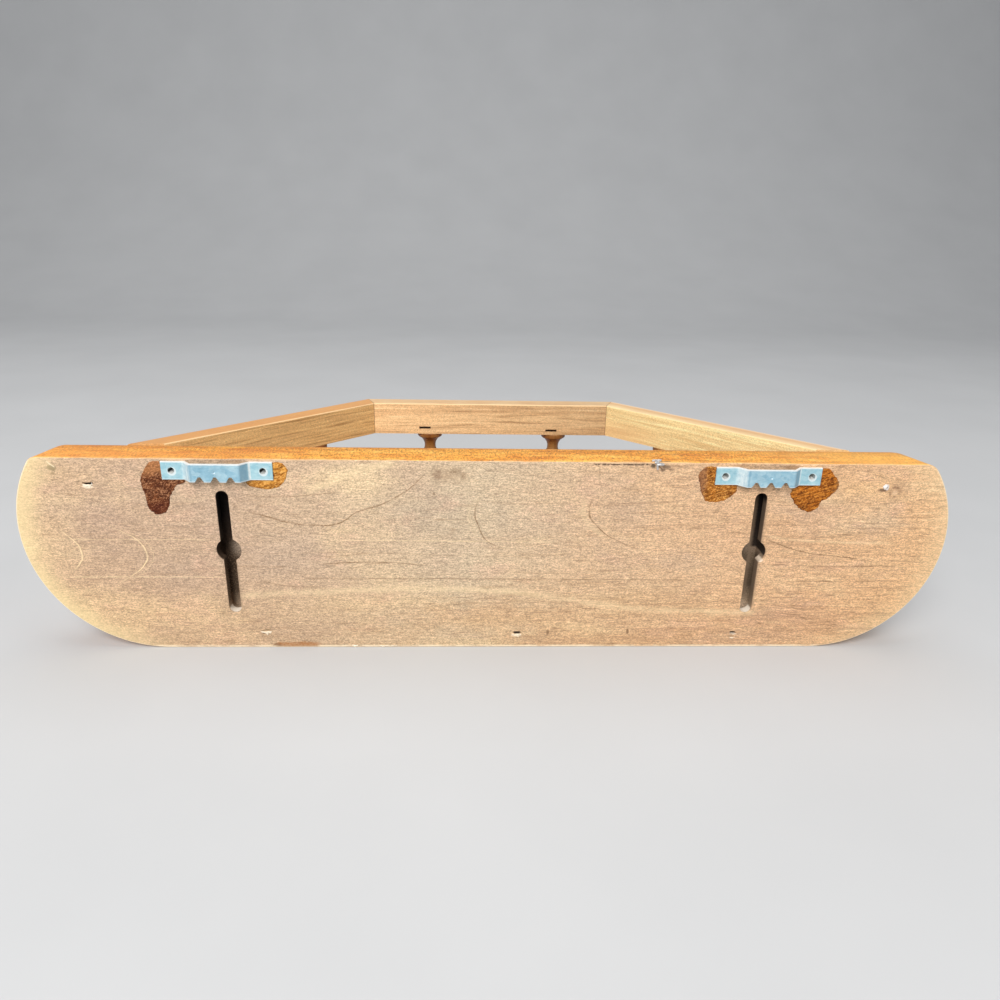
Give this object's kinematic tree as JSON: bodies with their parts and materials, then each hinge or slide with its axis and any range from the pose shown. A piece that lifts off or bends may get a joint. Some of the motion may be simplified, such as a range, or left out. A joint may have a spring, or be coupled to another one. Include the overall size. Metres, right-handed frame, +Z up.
{
  "type": "wall display shelf",
  "caption": "Small wooden wall shelf: round-ended back board, half-octagon shelf and a mitred gallery rail on turned spindles, with keyhole slots and sawtooth hangers at the back.",
  "frame": {"origin": "under the middle of the footprint, on the plane the shelf stands on", "axes": "+X to the right as seen from the front, +Y towards the wall, +Z up"},
  "size_m": [0.358, 0.1104, 0.0803],
  "materials": {
    "back_board_wood": "raw planed pine, aged",
    "stained_wood": "honey stain, satin varnish",
    "spindle_wood": "turned, stained, satin varnish",
    "zinc_plate": "bright zinc plate",
    "dried_glue": "dried amber glue",
    "nail_steel": "bare wire"
  },
  "bodies": {
    "root": {"back_board": "back_board_wood", "shelf_board": "stained_wood", "front_rail": "stained_wood", "left_rail": "stained_wood", "right_rail": "stained_wood", "spindle_front_left": "spindle_wood", "spindle_front_right": "spindle_wood", "spindle_left_front": "spindle_wood", "spindle_left_rear": "spindle_wood", "spindle_right_front": "spindle_wood", "spindle_right_rear": "spindle_wood", "left_hanger": "zinc_plate", "right_hanger": "zinc_plate", "left_hanger_glue": "dried_glue", "right_hanger_glue": "dried_glue", "shelf_nails": "nail_steel", "rail_nails": "nail_steel", "spindle_staples": "nail_steel", "stray_staple": "nail_steel"}
  },
  "joints": []
}
